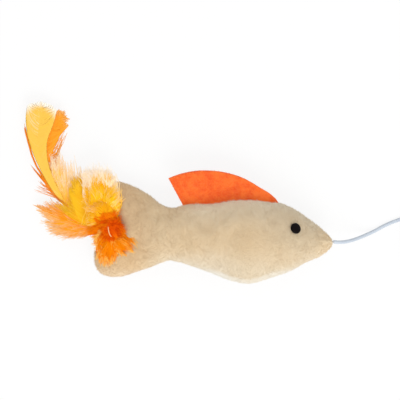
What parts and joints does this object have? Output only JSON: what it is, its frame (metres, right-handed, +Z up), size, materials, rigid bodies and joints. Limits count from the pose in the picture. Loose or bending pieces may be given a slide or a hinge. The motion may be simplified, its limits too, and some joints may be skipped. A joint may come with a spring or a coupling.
{
  "type": "plush fish cat toy",
  "caption": "Stuffed plush fish lying on its side, with a felt back fin, feathers tied in at the tail and a thin knotted cord at the nose, for a cat to chase.",
  "frame": {"origin": "centre of the toy's bounding box in plan, without its cord, on the surface that it lies on", "axes": "+X towards the nose, +Y towards the back fin, +Z up through the flank that lies uppermost"},
  "size_m": [0.2301, 0.0913, 0.0307],
  "materials": {
    "plush": "matte",
    "filling": "matte",
    "eye_plastic": "satin",
    "washer_plastic": "satin",
    "felt": "matte",
    "thread": "matte",
    "gold_feather": "matte",
    "yellow_feather": "matte",
    "orange_feather": "matte",
    "amber_feather": "matte",
    "peach_down": "matte",
    "rust_down": "matte",
    "cord": "matte"
  },
  "bodies": {
    "body": {"near_plush_panel": "plush", "far_plush_panel": "plush", "fibre_filling": "filling", "near_eye_bead": "eye_plastic", "far_eye_bead": "eye_plastic", "near_eye_washer": "washer_plastic", "far_eye_washer": "washer_plastic", "fin_seam_strip": "felt", "feather_tie": "thread", "peach_down": "peach_down", "gold_down": "gold_feather", "orange_down": "orange_feather", "rust_down": "rust_down", "cord_anchor_knot": "cord", "cord_lead": "cord", "cord_coil": "cord", "cord_end_knot": "cord"},
    "fin": {"back_fin": "felt"},
    "gold_feather": {"gold_plume": "gold_feather"},
    "yellow_feather": {"yellow_plume": "yellow_feather"},
    "orange_feather": {"orange_plume": "orange_feather"},
    "amber_feather": {"amber_plume": "amber_feather"},
    "spray_feather": {"orange_spray": "orange_feather"}
  },
  "joints": [
    {"name": "fin_fold", "type": "hinge", "parent": "body", "child": "fin", "pos_m": [0.022, -0.0031, 0.015], "axis": [1, 0, 0], "range_deg": [-75, 75], "stiffness_Nm_per_rad": 0.0004},
    {"name": "gold_sway", "type": "hinge", "parent": "body", "child": "gold_feather", "pos_m": [-0.03645, -0.017, 0.0083], "axis": [0, 0, 1], "range_deg": [-15, 15], "stiffness_Nm_per_rad": 0.0001},
    {"name": "yellow_sway", "type": "hinge", "parent": "body", "child": "yellow_feather", "pos_m": [-0.03645, -0.017, 0.0083], "axis": [0, 0, 1], "range_deg": [-15, 15], "stiffness_Nm_per_rad": 0.0002},
    {"name": "orange_sway", "type": "hinge", "parent": "body", "child": "orange_feather", "pos_m": [-0.03645, -0.017, 0.0083], "axis": [0, 0, 1], "range_deg": [-15, 15], "stiffness_Nm_per_rad": 0.0002},
    {"name": "amber_sway", "type": "hinge", "parent": "body", "child": "amber_feather", "pos_m": [-0.03645, -0.017, 0.0083], "axis": [0, 0, 1], "range_deg": [-15, 15], "stiffness_Nm_per_rad": 0.0002},
    {"name": "spray_sway", "type": "hinge", "parent": "body", "child": "spray_feather", "pos_m": [-0.03645, -0.017, 0.0083], "axis": [0, 0, 1], "range_deg": [-15, 15], "stiffness_Nm_per_rad": 0.0001}
  ]
}
